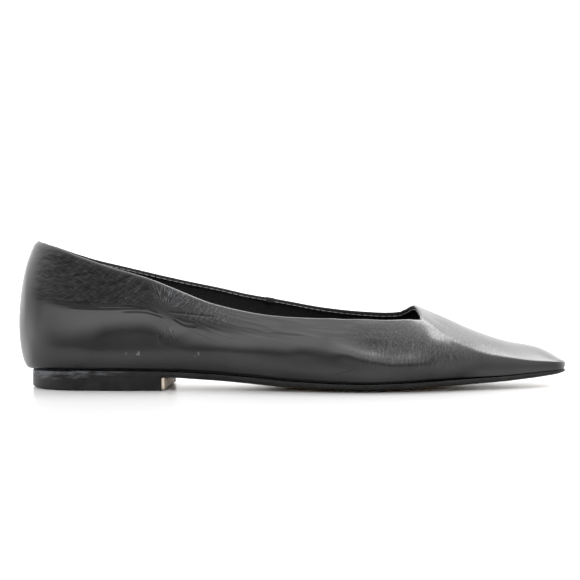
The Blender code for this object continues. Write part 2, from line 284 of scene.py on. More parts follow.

# Bare tan leather of the heel's front face, darker at its inner lower corner
TAN_STOPS = ((0.32, (0.20, 0.16, 0.12)), (0.5, (0.42, 0.35, 0.28)), (0.68, (0.55, 0.48, 0.41)))
TAN_ROUGHNESS = 0.7
BLOTCH_SHAPE = (1.0, 1.0, 0.35)
BLOTCH_DEPTH = 0.3
BLOTCH_STRENGTH = 0.4
DARK_CORNER = (72.0, 16.0, 1.2)
DARK_CORNER_SIZE = 6.0
DARK_CORNER_CORE = 0.4               # share of its size within which the dark corner is full
DARK_CORNER_COLOUR = (0.02, 0.017, 0.015, 1.0)

# Line round the quarter above which the soft leather is sunk behind the stiff counter and the waist: height
# of the line, depth of the drop, height over which the edge below rolls in, and height to recover above
SHELF_FIELDS = ("x", "z", "drop", "roll", "recover")
SHELF_ROUND = 0.55              # share of the roll that is curved; the rest slopes evenly
SHELF_SOFT = 1.5                # height over which the line itself is rounded
OUTER_SHELF = (
    (4.0, 43.0, 0.3, 20.0, 28.0),
    (8.0, 43.0, 2.0, 24.0, 28.0),
    (13.0, 42.4, 4.2, 24.0, 28.0),
    (22.0, 40.6, 5.4, 23.0, 28.0),
    (35.0, 39.2, 4.6, 17.0, 26.0),
    (52.0, 39.3, 3.3, 12.5, 22.0),
    (61.0, 39.0, 3.0, 12.0, 26.0),
    (67.0, 37.4, 2.9, 12.5, 40.0),
    (75.0, 34.0, 3.2, 14.0, 90.0),
    (84.0, 30.1, 3.9, 14.0, 200.0),
    (94.0, 28.6, 3.6, 13.0, 300.0),
    (104.0, 28.0, 3.0, 12.0, 300.0),
    (114.0, 27.2, 2.7, 12.5, 300.0),
    (123.0, 26.4, 2.2, 12.5, 300.0),
    (136.0, 25.4, 0.9, 12.0, 300.0),
    (150.0, 24.0, 0.0, 11.0, 300.0),
)
INNER_SHELF = (
    (4.0, 43.0, 0.2, 12.0, 20.0),
    (10.0, 43.2, 1.0, 12.0, 20.0),
    (17.0, 43.2, 1.8, 12.0, 20.0),
    (36.0, 41.5, 1.8, 12.0, 20.0),
    (56.0, 41.8, 1.6, 11.0, 22.0),
    (70.0, 38.0, 1.6, 10.0, 40.0),
    (88.0, 31.5, 1.4, 9.0, 60.0),
    (104.0, 29.0, 1.0, 8.0, 60.0),
    (122.0, 27.5, 0.0, 8.0, 60.0),
)

# How far the foot of the wall is tucked in, and the height over which it is
TUCK_FIELDS = ("x", "depth", "high")
TUCK = (
    (4.0, 0.0, 8.0),
    (16.0, 1.3, 11.0),
    (95.0, 1.3, 11.0),
    (125.0, 1.1, 10.0),
    (205.0, 0.8, 7.0),
    (235.0, 0.3, 4.0),
    (255.0, 0.2, 3.0),
)

# Troughs (negative) and ridges of the worn shape: side, rise, widths above and below, and path of (x, z)
FOLDS = (
    (OUTER, 0.7, 5.0, 8.0, ((24, 17), (60, 17), (90, 18), (120, 16))),
    (OUTER, 1.0, 11.0, 8.0, ((2, 18.5), (14, 18.5), (28, 18), (44, 17.5))),
    (OUTER, -2.0, 8.0, 5.0,
     ((146, 28.5), (154, 25.5), (161, 22.6), (168, 20.6), (177, 19.8), (187, 20.5), (196, 22.5))),
    (OUTER, -0.4, 4.0, 4.0, ((75, 20.5), (87, 18), (99, 16), (116, 14.5), (134, 14.5), (148, 15.5))),
    (OUTER, 0.5, 5.0, 4.5, ((128, 22), (138, 21), (150, 19.4), (160, 17.2), (167, 15), (175, 12.9))),
    (OUTER, 1.0, 5.0, 2.8,
     ((148, 20.6), (157, 18.4), (167, 15.9), (175, 13.8), (183, 12.9), (192, 13), (203, 14))),
    (OUTER, 0.6, 4.0, 3.2,
     ((112, 39), (130, 36), (150, 34.6), (172, 34), (182, 34.2), (190, 33.4), (198, 30))),
    (OUTER, 0.7, 6.0, 6.0,
     ((-8, 79), (6, 73), (22, 67.5), (32, 64), (48, 59), (65, 54.2), (80, 48.8), (95, 43.2))),
    (INNER, -0.6, 3.0, 3.0, ((78, 26), (96, 21), (118, 18), (140, 17.5), (156, 18))),
    (INNER, -1.4, 6.0, 6.0, ((164, 20), (178, 20.5), (190, 22), (200, 22))),
    (INNER, 0.7, 5.0, 1.8, ((154, 18.5), (168, 16), (180, 14), (192, 13.6), (202, 14))),
)
# Thin creases: side, depth, and path of (x, z); the last is the seam of the inner side
CREASE_WIDTH = 0.45
CREASE_REACH = 2.5              # distance from a crease within which it is felt
CREASES = (
    (OUTER, 0.20, ((24, 38.6), (34, 38.1), (44, 38), (54, 38.3), (62, 38), (67, 36.4))),
    (OUTER, 0.16, ((38, 39.7), (48, 39.5), (54, 39.4), (60, 38.8), (64, 37.8))),
    (OUTER, 0.18, ((50, 36.6), (58, 36.8), (63, 36.4), (68, 35), (72, 33.4))),
    (OUTER, 0.22, ((50, 39.9), (55.5, 39.9), (59.7, 39.4), (63, 38.6), (66, 37.2), (69.5, 35.8))),
    (OUTER, 0.12, ((8, 42.6), (16, 42.4), (27.4, 41.8), (36.3, 41.4), (48.5, 41))),
    (OUTER, 0.22, ((46.6, 42.3), (52.7, 43.9), (57.4, 45.6), (61.2, 47), (64.4, 47.7))),
    (OUTER, 0.16, ((50.4, 51.2), (53, 52.8), (56.5, 54))),
    (OUTER, 0.14, ((40, 48.9), (44, 50.4), (49, 51.2))),
    (OUTER, 0.14, ((15, 50.2), (22, 50.9), (30, 50.3))),
    (OUTER, 0.14, ((23, 53.3), (31.1, 53.8), (37.5, 55.6))),
    (OUTER, 0.12, ((72, 37), (80, 36.2), (88, 35.3), (97, 34.4))),
    (OUTER, 0.18, ((74.5, 33.8), (77.5, 31.8), (81, 30.2), (87, 29.2))),
    (OUTER, 0.12, ((76.5, 34.6), (80, 32.6), (86, 31.4))),
    (OUTER, 0.08, ((120, 27.6), (128, 26.8), (138, 26.2))),
    (OUTER, 0.05, ((147.5, 7.6), (154, 9.6), (162, 12.2))),
    (INNER, 0.25, ((120, 44), (119.5, 32), (118.5, 20), (118, 7))),
)
FAN = (71.2, 37.0)              # middle of the wrinkles that fan out at the counter's front end
# Soft lumps and hollows: side, x, z, half length, half height and rise
LUMPS = (
    (OUTER, 160.0, 29.5, 13.0, 6.0, 1.3),
    (OUTER, 169.5, 22.0, 6.0, 3.5, -0.5),
    (OUTER, 185.0, 14.5, 6.0, 2.2, 0.20),
    (OUTER, 79.0, 27.0, 4.0, 3.0, 0.30),
    (OUTER, 203.0, 21.2, 11.0, 6.0, 1.10),
    (OUTER, 211.0, 18.6, 11.0, 5.0, 0.70),
)

# Patterns of fine wear: name, depth, share of the raised strokes that shows pale (worn finish and painted
# highlight), share of the furrows that shows dark (painted shade, as lowered gloss)
WEAR = (
    ("furrows", 0.28, 0.00, 0.62),
    ("rising", 0.09, 0.07, 0.36),
    ("falling", 0.07, 0.06, 0.26),
    ("fan", 0.15, 0.46, 0.24),
    ("spray", 0.10, 0.18, 0.00),
    ("crazed", 0.10, 0.22, 0.10),
    ("streaks", 0.12, 0.06, 0.12),
    ("flex", 0.20, 0.00, 0.14),
    ("pleats", 0.10, 0.08, 0.32),
    ("pebble", 0.08, 0.08, 0.32),
    # Painted shade along the foot of the wall, as lowered gloss, with no relief and no pale strokes
    ("foot_shade", 0.00, 0.00, 1.00),
)
# Straight lines of wear: area, slope in degrees, length and distance apart
LINE_WEAR = {
    "falling": ("soft", -24.0, 4.0, 0.75),
    "crazed": ("beside_fan", 58.0, 2.4, 0.6),
    "pleats": ("pleated", 84.0, 5.0, 0.9),
    "pebble": ("ball", 40.0, 1.1, 0.9),
}
# Bent lines: area, first and last slope, span of x from one to the other, length and distance apart
BENT_WEAR = {
    "furrows": ("soft", (4.0, 34.0), (20.0, 58.0), 10.0, 2.8),
    "rising": ("soft", (10.0, 40.0), (14.0, 50.0), 4.0, 0.8),
}
# Strokes out from the fan's middle: degrees wide, length, and windows of the radius and the angle
FAN_WEAR = {
    "fan": (3.4, 3.6, (1.0, 17.0, 6.0), (5.0, 140.0, 35.0)),
    "spray": (3.8, 3.5, (3.0, 17.0, 6.0), (-125.0, -35.0, 30.0)),
}
# Areas of the outer side, as windows of x, and for some of z: low end, high end and fade inside both
AREAS_ALONG = {
    "soft": (4.0, 70.0, 12.0),
    "beside_fan": (70.0, 110.0, 14.0),
    "quarter": (78.0, 185.0, 14.0),
    "ball": (152.0, 240.0, 14.0),
    "pleated": (160.0, 216.0, 12.0),
    "foot": (4.0, 225.0, 14.0),
}
AREAS_UP = {
    "quarter": (22.0, 60.0, 4.0),
    "ball": (12.0, 34.0, 4.0),
    "pleated": (9.0, 27.0, 5.0),
}
# Areas over the shelf line: how far over it they begin, and over which heights they begin and end
AREAS_OVER_SHELF = {
    "soft": (-1.0, 4.0, 4.0),
    "beside_fan": (1.0, 4.0, 2.0),
}
FOOT_HEIGHT = 8.0               # height over which the leather along its foot has its gloss lowered as painted shade
FOOT_SIZE = (50.0, 30.0)        # length and height of the features of that
STREAK_SIZE = (16.0, 1.3)
FLEX_LENGTH = 14.0
FLEX_LINES = 11.0               # lines on half the vamp where it bends at the throat
FLEX_REACH = 26.0               # distance ahead of the throat at which they end
FLEX_FADE = 16.0
FLEX_EDGE = 0.3                 # share of half the vamp over which they fade to its shoulders
SIDE_SHARE = 0.7                # share of half the vamp from which a side's wear and folds are full

# Photograph's camera, aimed at a point of the shoe
CAMERA_DISTANCE = 900.0
CAMERA_ELEVATION = 2.0
CAMERA_AIM = (130.1, 0.0, 46.4)
FOCAL_PIXELS = 1859.0
IMAGE_PIXELS = 580.0
SENSOR = 36.0

# Studio in metres: a white tent, and on the camera's side a dim curtain that shows only in gloss
TENT_TONE = 2.6
FLOOR_WHITE = 0.48
FLOOR_ROUGHNESS = 0.30
FLOOR_HALF = 6.0
FLOOR_DROP = 0.0001             # how far the floor lies below the shoe
CURTAIN_RADIUS = 1.25           # round the shoe
CURTAIN_HEIGHT = 1.3
CURTAIN_ANGLES = (-100.0, 125.0)                # degrees round from the camera, to the left and right
CURTAIN_FADES = ((30.0, 100.0), (16.0, 125.0))  # angles over which each side brightens to the tent's tone
CURTAIN_GRID = (50, 26)
CURTAIN_TONE_FIELDS = ("share", "tone")
CURTAIN_TONES = (
    (0.0, 0.025),
    (0.12, 0.05),
    (0.26, 0.12),
    (0.40, 0.27),
    (0.55, 0.47),
    (0.75, 0.72),
    (1.0, 1.0),
)
WINDOW_PLACE = (0.46, 0.54, 1.00)               # soft light above, ahead of the toe and beyond the shoe
WINDOW_TARGET = (0.06, 0.0, 0.02)
WINDOW_SIZE = (0.7, 0.5)
WINDOW_POWER = 10.0
WHITE = (1.0, 1.0, 1.0, 1.0)
BLACK = (0.0, 0.0, 0.0, 1.0)


def smooth(table, fields, name, s):
    """Read one column of a table at s, on a smooth curve that never overshoots its rows."""
    rows = np.array(table)
    knots, values = rows[:, 0], rows[:, fields.index(name)]
    steps = np.diff(knots)
    rises = np.diff(values) / steps
    before, after = rises[:-1], rises[1:]
    same_way = before * after > 0
    slopes = np.zeros(len(values))
    slopes[0], slopes[-1] = rises[0], rises[-1]
    slopes[1:-1] = np.where(same_way, 2 * before * after / np.where(same_way, before + after, 1.0), 0.0)
    i = np.clip(np.searchsorted(knots, s) - 1, 0, len(steps) - 1)
    t = np.clip((s - knots[i]) / steps[i], 0.0, 1.0)
    start = (1 + 2 * t) * (1 - t) ** 2 * values[i] + t * (1 - t) ** 2 * steps[i] * slopes[i]
    end = t * t * (3 - 2 * t) * values[i + 1] + t * t * (t - 1) * steps[i] * slopes[i + 1]
    return start + end


def sole_size(name, s):
    return smooth(SOLE, SOLE_FIELDS, name, s)


def top_size(name, s):
    return smooth(TOP, TOP_FIELDS, name, s)


def side_name(side):
    return "inner" if side == INNER else "outer"


def ease(t):
    t = np.clip(t, 0.0, 1.0)
    return t * t * (3 - 2 * t)


def make_spine():
    """Points and headings along the curved middle line of the shoe."""
    s = np.linspace(0.0, SPINE_LENGTH, SPINE_POINTS)
    bend = ease((s - BEND_START) / (BEND_END - BEND_START))
    heading = np.radians(HEEL_AXIS + (FOREPART_AXIS - HEEL_AXIS) * bend)
    step = s[1] - s[0]
    x = np.concatenate(([0.0], np.cumsum(np.cos(heading[:-1]) * step)))
    y = np.concatenate(([0.0], np.cumsum(np.sin(heading[:-1]) * step)))
    return s, x, y, heading


SPINE = make_spine()


def on_spine(s):
    """Places on the spine, the forward directions and the directions towards the inner side."""
    stations, x, y, heading = SPINE
    angle = np.interp(s, stations, heading)
    flat = np.zeros_like(angle)
    place = np.stack((np.interp(s, stations, x), np.interp(s, stations, y), flat), axis=-1)
    forward = np.stack((np.cos(angle), np.sin(angle), flat), axis=-1)
    inward = np.stack((-np.sin(angle), np.cos(angle), flat), axis=-1)
    return place, forward, inward


def ring_of(steps):
    """Sections from the back of the heel to the toe front: a zone and a value in it for each."""
    parts = (
        (HEEL, np.linspace(0, math.pi / 2, steps["heel"] + 1)[:-1]),
        (SIDE, np.linspace(HEEL_CENTRE, THROAT, steps["quarter"] + 1)),
        (SIDE, np.linspace(THROAT, TOE_CENTRE, steps["vamp"] + 1)[1:]),
        (TOE, np.linspace(0, math.pi / 2, steps["toe"] + 1)[1:]),
    )
    zone = np.concatenate([np.full(len(values), zone) for zone, values in parts])
    return zone, np.concatenate([values for _, values in parts])


def plan(ring, back, front, half_at):
    """Distance along the spine, half width and facing angle of an outline at each section."""
    zone, value = ring
    heel, toe = zone == HEEL, zone == TOE
    ahead = np.where(toe, TOE_CENTRE + front * np.sin(value), value)
    s = np.where(heel, HEEL_CENTRE - back * np.cos(value), ahead)
    half = half_at(np.where(heel, HEEL_CENTRE, s))
    half = np.where(heel, half * np.sin(value), half) - np.where(toe, front * (1 - np.cos(value)), 0.0)
    angle = np.where(heel, math.pi - value, np.where(toe, math.pi / 2 - value, math.pi / 2))
    return s, half, angle


def feather_plan(ring, side, margin=0.0):
    name = side_name(side)
    return plan(ring, FEATHER_BACK + margin, FEATHER_FRONT + margin, lambda s: sole_size(name, s) + margin)


def top_plan(ring, side):
    name = side_name(side)
    return plan(ring, TOP_BACK, TOP_FRONT, lambda s: top_size(name, s))


def place(s, half, side, height):
    point, _, inward = on_spine(s)
    point = point + side * half[..., None] * inward
    point[..., 2] += height
    return point


def swell(levels, turned):
    """How full the wall stands at each level of each section, from 0 at its edges to 1."""
    v = np.clip(levels[None, :], 0.0, 1.0)
    low = SWELL_LOW_BACK + (SWELL_LOW - SWELL_LOW_BACK) * turned[:, None]
    high = SWELL_COLLAR + (SWELL_SIDE - SWELL_COLLAR) * turned[:, None]
    power = low + (high - low) * v
    return np.clip(np.sin(math.pi * v ** SWELL_SKEW), 0.0, 1.0) ** power


def wall_ends(ring, side):
    """Foot and top edge of the wall at each section, its facing direction, fullness and turn."""
    s_foot, half_foot, angle = feather_plan(ring, side)
    s_top, half_top, _ = top_plan(ring, side)
    foot = place(s_foot, half_foot, side, sole_size("height", s_foot) + UPPER_LIFT)
    top = place(s_top, half_top, side, top_size(side_name(side) + "_height", s_top))
    _, forward, inward = on_spine(s_foot)
    out = np.cos(angle)[:, None] * forward + side * np.sin(angle)[:, None] * inward
    turned = np.where(ring[0] == HEEL, np.sin(angle) ** 2, 1.0)
    return foot, top, out, top_size(side_name(side) + "_swell", s_top), turned


def wall_grid(ends, levels):
    foot, top, out, fullness, turned = ends
    grid = foot[:, None, :] + levels[None, :, None] * (top - foot)[:, None, :]
    return grid + out[:, None, :] * (fullness[:, None] * swell(levels, turned))[..., None]


def vamp_grid(ring, columns):
    """Arched rows of points over the vamp, from the outer shoulder to the inner one."""
    start, end = (wall_ends(ring, side)[1] for side in (OUTER, INNER))
    s = top_plan(ring, OUTER)[0]
    rise = smooth(RIDGE, RIDGE_FIELDS, "height", s) - (start[:, 2] + end[:, 2]) / 2
    arch = smooth(RIDGE, RIDGE_FIELDS, "arch", s)
    soft = np.hypot(columns, RIDGE_SOFTNESS) - RIDGE_SOFTNESS
    out = soft / (np.hypot(1.0, RIDGE_SOFTNESS) - RIDGE_SOFTNESS)
    grid = start[:, None, :] + ((columns + 1) / 2)[None, :, None] * (end - start)[:, None, :]
    grid[..., 2] += rise[:, None] * (1 - out[None, :] ** arch[:, None])
    return grid


def notch_throat(grid, columns, row_step):
    """Slide the rows next to the throat forward, most in the middle, and by the fold's round at the edge."""
    rows = np.arange(len(grid), dtype=float)
    fade = np.clip(1 - rows / THROAT_RUN, 0.0, 1.0) ** 2
    from_corner = 1 - np.abs(columns)
    ahead = (THROAT_NOTCH * from_corner + FOLD_RADIUS * ease(from_corner / THROAT_CORNER)) / row_step
    wanted = rows[:, None] + fade[:, None] * ahead[None, :]
    low = np.clip(np.floor(wanted).astype(int), 0, len(grid) - 2)
    share = (wanted - low)[..., None]
    column = np.arange(len(columns))[None, :]
    return grid[low, column] * (1 - share) + grid[low + 1, column] * share


def lower_collar(grid, first, side):
    """Bring the wall down by the round of the fold over its edge, between the heel's back and the throat."""
    height = np.linalg.norm(grid[:, -1] - grid[:, 0], axis=1)
    number = np.arange(len(grid))
    share = ease((first - number) / COLLAR_FRONT_RUN + 0.5) * ease(number / COLLAR_BACK_RUN[side])
    rows = np.arange(grid.shape[1], dtype=float)
    near_edge = (rows / rows[-1]) ** COLLAR_POWER
    drop = (FOLD_RADIUS * share / height)[:, None, None] * near_edge[None, :, None]
    return grid - drop * (grid[:, -1:] - grid[:, :1])


def front_grid(ring, columns, levels):
    """The toe's front wall, one row for each column of the vamp."""
    last = (ring[0][-1:], ring[1][-1:])
    outer, inner = (wall_ends(last, side) for side in (OUTER, INNER))
    t = ((columns + 1) / 2)[:, None]
    foot = (1 - t) * outer[0] + t * inner[0]
    top = vamp_grid(last, columns)[0]
    out = np.repeat(outer[2], len(columns), axis=0)
    fullness = ((1 - t) * outer[3] + t * inner[3])[:, 0]
    return wall_grid((foot, top, out, fullness, np.ones(len(columns))), levels)


def weld(patches):
    """Join grids of points into one mesh.

    Gives its points and quads, each patch's point numbers, each quad's patch, and each point's source.
    """
    stacked = np.concatenate([grid.reshape(-1, 3) for grid in patches])
    _, first, inverse = np.unique(np.round(stacked / MERGE).astype(np.int64), axis=0,
                                  return_index=True, return_inverse=True)
    inverse = inverse.reshape(-1)
    numbers, quads, owner, start = [], [], [], 0
    for which, grid in enumerate(patches):
        rows, columns = grid.shape[:2]
        ids = inverse[start:start + rows * columns].reshape(rows, columns)
        start += rows * columns
        found = np.stack((ids[:-1, :-1], ids[1:, :-1], ids[1:, 1:], ids[:-1, 1:]), axis=-1).reshape(-1, 4)
        numbers.append(ids)
        quads.append(found)
        owner.append(np.full(len(found), which))
    return stacked[first], np.concatenate(quads), numbers, np.concatenate(owner), first


def point_normals(points, quads):
    across = points[quads[:, 2]] - points[quads[:, 0]]
    along = points[quads[:, 3]] - points[quads[:, 1]]
    facing = np.cross(across, along)
    total = np.zeros_like(points)
    for corner in range(4):
        np.add.at(total, quads[:, corner], facing)
    return total / np.maximum(np.linalg.norm(total, axis=1, keepdims=True), 1e-12)


def soften(points, quads, weight, rounds):
    """Draw points towards their neighbours' middle, by weight."""
    edges = np.concatenate([quads[:, [i, (i + 1) % 4]] for i in range(4)])
    edges = edges[edges[:, 0] != edges[:, 1]]
    edges = np.unique(np.sort(edges, axis=1), axis=0)
    count = np.bincount(edges.reshape(-1), minlength=len(points))[:, None]
    for _ in range(rounds):
        total = np.zeros_like(points)
        np.add.at(total, edges[:, 0], points[edges[:, 1]])
        np.add.at(total, edges[:, 1], points[edges[:, 0]])
        points = points + weight[:, None] * SHOULDER_MOVE * (total / count - points)
    return points


def fine_path(path, per_leg=8):
    """A smooth line through the points of a path."""
    knots = np.array(path, float)
    padded = np.vstack((2 * knots[0] - knots[1], knots, 2 * knots[-1] - knots[-2]))
    t = np.linspace(0, 1, per_leg, endpoint=False)[:, None]
    legs = []
    for a, b, c, d in zip(padded, padded[1:], padded[2:], padded[3:]):
        legs.append(0.5 * (2 * b + (c - a) * t + (2 * a - 5 * b + 4 * c - d) * t ** 2
                           + (3 * b - a - 3 * c + d) * t ** 3))
    return np.vstack(legs + [knots[-1:]])


def measure_to(path, flat):
    """Distance of flat points from a path, share of its length reached, and distance above it."""
    line = fine_path(path)
    starts, legs = line[:-1], np.diff(line, axis=0)
    lengths = np.linalg.norm(legs, axis=1)
    before = np.concatenate(([0.0], np.cumsum(lengths)))
    best = np.full(len(flat), np.inf)
    share = np.zeros(len(flat))
    above = np.zeros(len(flat))
    for start, leg, length, done in zip(starts, legs, lengths, before):
        t = np.clip((flat - start) @ leg / length ** 2, 0.0, 1.0)
        gap = flat - (start + t[:, None] * leg)
        distance = np.linalg.norm(gap, axis=1)
        closer = distance < best
        best = np.where(closer, distance, best)
        share = np.where(closer, (done + t * length) / before[-1], share)
        above = np.where(closer, np.sign(leg[0] * gap[:, 1] - leg[1] * gap[:, 0]), above)
    return best, share, above * best


def ends_fade(share, run=0.18):
    return ease(share / run) * ease((1 - share) / run)


def shelf(flat, table):
    """Depth of the leather behind a shelf line: rolled in below the line and recovering above it."""
    x, z = flat[:, 0], flat[:, 1]
    line, drop, roll, recover = (smooth(table, SHELF_FIELDS, name, x) for name in SHELF_FIELDS[1:])
    above = z - line
    t = np.maximum(1 + above / roll, 0.0)
    even = SHELF_ROUND / 2 + 1 - SHELF_ROUND
    rolled = np.where(t < SHELF_ROUND, t * t / (2 * SHELF_ROUND), t - SHELF_ROUND / 2) / even
    recovered = np.maximum(1 - above / recover, 0.0)
    soft = SHELF_SOFT * (1 / (roll * even) + 1 / recover)
    return drop * np.maximum((rolled + recovered - np.hypot(rolled - recovered, soft)) / 2, 0.0)


def on_side(across, side):
    """1 on one side of the upper, easing to 0 towards the middle of the vamp."""
    return np.where(across * side > 0, ease(np.abs(across) / SIDE_SHARE), 0.0)


def relief(points, across):
    """How far the worn leather stands out from, or is sunk into, the last's smooth shape."""
    x, z = points[:, 0], points[:, 2]
    flat = points[:, [0, 2]]
    height = np.zeros(len(points))
    weight = {side: on_side(across, side) for side in (OUTER, INNER)}
    for side, amount, above, below, path in FOLDS:
        distance, share, over = measure_to(path, flat)
        width = np.where(over > 0, above, below)
        height += weight[side] * amount * np.exp(-(distance / width) ** 2) * ends_fade(share)
    for side, table in ((OUTER, OUTER_SHELF), (INNER, INNER_SHELF)):
        height -= weight[side] * shelf(flat, table)
    depth, high = (smooth(TUCK, TUCK_FIELDS, name, x) for name in TUCK_FIELDS[1:])
    over_foot = z - sole_size("height", x)
    height -= (weight[OUTER] + weight[INNER]) * depth * np.clip(1 - over_foot / high, 0.0, 1.0) ** 2
    for side, middle_x, middle_z, long, tall, amount in LUMPS:
        fall = ((x - middle_x) / long) ** 2 + ((z - middle_z) / tall) ** 2
        height += weight[side] * amount * np.exp(-fall)
    return height


def window(value, low, high, fade):
    """1 between low and high, easing to 0 over a fade inside both ends."""
    return ease((value - low) / fade) * ease((high - value) / fade)


def lines(x, z, slope, length, spacing):
    """Coordinates of a pattern of lines at a slope in degrees, this long and this far apart."""
    angle = math.radians(slope)
    along = x * math.cos(angle) + z * math.sin(angle)
    aside = z * math.cos(angle) - x * math.sin(angle)
    return along / length, aside / spacing


def bent_lines(x, z, slopes, span, length, spacing):
    """The same for lines whose slope changes from one to another over a span of x."""
    start, end = np.tan(np.radians(slopes))
    inside = np.clip(x - span[0], 0.0, span[1] - span[0])
    beyond = np.maximum(x - span[1], 0.0)
    rise = start * x + (end - start) * (inside ** 2 / (2 * (span[1] - span[0])) + beyond)
    return x / length, (z - rise) / spacing


def wear_areas(x, z, outer):
    """How strongly each area of the outer side is worn, or given painted shade along its foot, from 0 to 1.
    """
    areas = {name: outer * window(x, *ends) for name, ends in AREAS_ALONG.items()}
    for name, ends in AREAS_UP.items():
        areas[name] *= window(z, *ends)
    over_line = z - smooth(OUTER_SHELF, SHELF_FIELDS, "z", x)
    under_collar = top_size("outer_height", x) - z
    for name, (start, rise, fade) in AREAS_OVER_SHELF.items():
        areas[name] *= ease((over_line - start) / rise) * ease(under_collar / fade)
    over_foot = z - sole_size("height", x)
    areas["foot"] *= ease((FOOT_HEIGHT - over_foot) / FOOT_HEIGHT)
    return areas


def wear(points, across, ahead):
    """Where each pattern of fine wear, and the painted shade along the foot, lies: its two coordinates and
    its strength from 0 to 1.
    """
    x, z = points[:, 0], points[:, 2]
    outer = on_side(across, OUTER)
    areas = wear_areas(x, z, outer)
    radius = np.hypot(x - FAN[0], z - FAN[1])
    turn = np.degrees(np.arctan2(z - FAN[1], x - FAN[0]))
    under_collar = top_size("outer_height", x) - z
    flexed = ease((FLEX_REACH - ahead) / FLEX_FADE) * window(across, -1.0, 1.0, FLEX_EDGE)
    patterns = {
        "streaks": (x / STREAK_SIZE[0], under_collar / STREAK_SIZE[1], areas["quarter"]),
        "flex": (ahead / FLEX_LENGTH, across * FLEX_LINES, flexed),
        # Painted shade along the foot of the wall
        "foot_shade": (x / FOOT_SIZE[0], z / FOOT_SIZE[1], areas["foot"]),
    }
    for name, (area, *sizes) in LINE_WEAR.items():
        patterns[name] = (*lines(x, z, *sizes), areas[area])
    for name, (area, *sizes) in BENT_WEAR.items():
        patterns[name] = (*bent_lines(x, z, *sizes), areas[area])
    for name, (wide, long, radii, angles) in FAN_WEAR.items():
        patterns[name] = (turn / wide, radius / long, outer * window(radius, *radii) * window(turn, *angles))
    return {name: np.stack(patterns[name], axis=1) for name, *_ in WEAR}


def far_apart(crease, others):
    """Whether a crease is out of reach of all the others on its side."""
    near = [fine_path(path) for side, _, path in others if side == crease[0]]
    line = fine_path(crease[2])
    return all(measure_to(other, line)[0].min() > 2 * CREASE_REACH for other in near)


def group_creases():
    """Sort the creases into few groups, in each of which they lie well apart."""
    groups = []
    for crease in CREASES:
        group = next((group for group in groups if far_apart(crease, group)), None)
        if group is None:
            groups.append([crease])
        else:
            group.append(crease)
    return groups


def crease_lines(points, across):
    """For each group of creases the distance above or below the nearest one, and its depth."""
    found = {}
    for number, group in enumerate(group_creases()):
        carried = np.zeros((len(points), 3))
        nearest = np.full(len(points), np.inf)
        for side, depth, path in group:
            distance, share, over = measure_to(path, points[:, [0, 2]])
            mine = (across * side > 0) & (distance < nearest)
            nearest[mine] = distance[mine]
            carried[mine, 0] = over[mine]
            carried[mine, 1] = np.where(distance < CREASE_REACH, depth * ends_fade(share), 0.0)[mine]
        found[f"crease_{number}"] = carried
    return found


def shoulder_weight(count, walls, vamp, columns, levels):
    """How much each point is softened: most along the shoulder, in a strip that narrows to the toe."""
    first = len(walls[0]) - len(vamp)
    weight = np.zeros(count)
    reach = np.linspace(1.0, SHOULDER_TOE, len(vamp))[:, None]
    from_edge = (1 - np.abs(columns))[None, :]
    weight[vamp] = np.clip(1 - from_edge / (SHOULDER_VAMP * reach), 0, 1)
    under_top = (1 - levels)[None, :]
    lead = ease((np.arange(first) - first + SHOULDER_LEAD) / SHOULDER_LEAD)[:, None]
    for wall in walls:
        beside_vamp = np.clip(1 - under_top / (SHOULDER_WALL * reach), 0, 1)
        weight[wall[first:]] = np.maximum(weight[wall[first:]], beside_vamp)
        weight[wall[:first]] = lead * np.clip(1 - under_top / SHOULDER_WALL, 0, 1)
    return weight


def upper_surface(steps):
    """The outside of the upper: points, quads, places across and ahead, loops of collar and foot."""
    ring = ring_of(steps)
    levels = np.linspace(0.0, 1.0, steps["levels"] + 1)
    levels = levels - LEVEL_CROWDING * np.sin(2 * math.pi * levels) / (2 * math.pi)
    columns = np.linspace(-1.0, 1.0, steps["columns"] + 1)
    row_step = (TOE_CENTRE - THROAT) / steps["vamp"]
    first = steps["heel"] + steps["quarter"]
    walls = [lower_collar(wall_grid(wall_ends(ring, side), levels), first, side) for side in (OUTER, INNER)]
    vamp = notch_throat(vamp_grid((ring[0][first:], ring[1][first:]), columns), columns, row_step)
    vamp[:, 0], vamp[:, -1] = walls[0][first:, -1], walls[1][first:, -1]
    patches = [walls[0], walls[1][:, ::-1], vamp, front_grid(ring, columns, levels)]
    points, quads, ids, _, kept = weld(patches)
    outer, inner, vamp, front = ids[0], ids[1][:, ::-1], ids[2], ids[3]
    sides = [np.full(outer.size, float(OUTER)), np.full(inner.size, float(INNER)),
             np.tile(columns, len(vamp)), np.repeat(columns, len(levels))]
    across = np.concatenate(sides)[kept]
    ahead = np.full(len(points), FAR_AHEAD)
    ahead[vamp] = np.arange(len(vamp))[:, None] * row_step
    collar = np.concatenate((outer[:first + 1, -1], vamp[0, 1:-1], inner[1:first + 1, -1][::-1]))
    below = np.concatenate((outer[:first + 1, -2], vamp[1, 1:-1], inner[1:first + 1, -2][::-1]))
    feather = np.concatenate((outer[:, 0], front[1:-1, 0], inner[1:, 0][::-1]))
    weight = shoulder_weight(len(points), (outer, inner), vamp, columns, levels)
    weight[collar] = 0.0
    quads = quads[np.array([len(set(quad)) > 2 for quad in quads.tolist()])]
    points = soften(points, quads, weight, SHOULDER_ROUNDS)
    points = points + point_normals(points, quads) * relief(points, across)[:, None]
    return {"points": points, "quads": quads, "across": across, "ahead": ahead,
            "collar": collar, "below": below, "feather": feather}


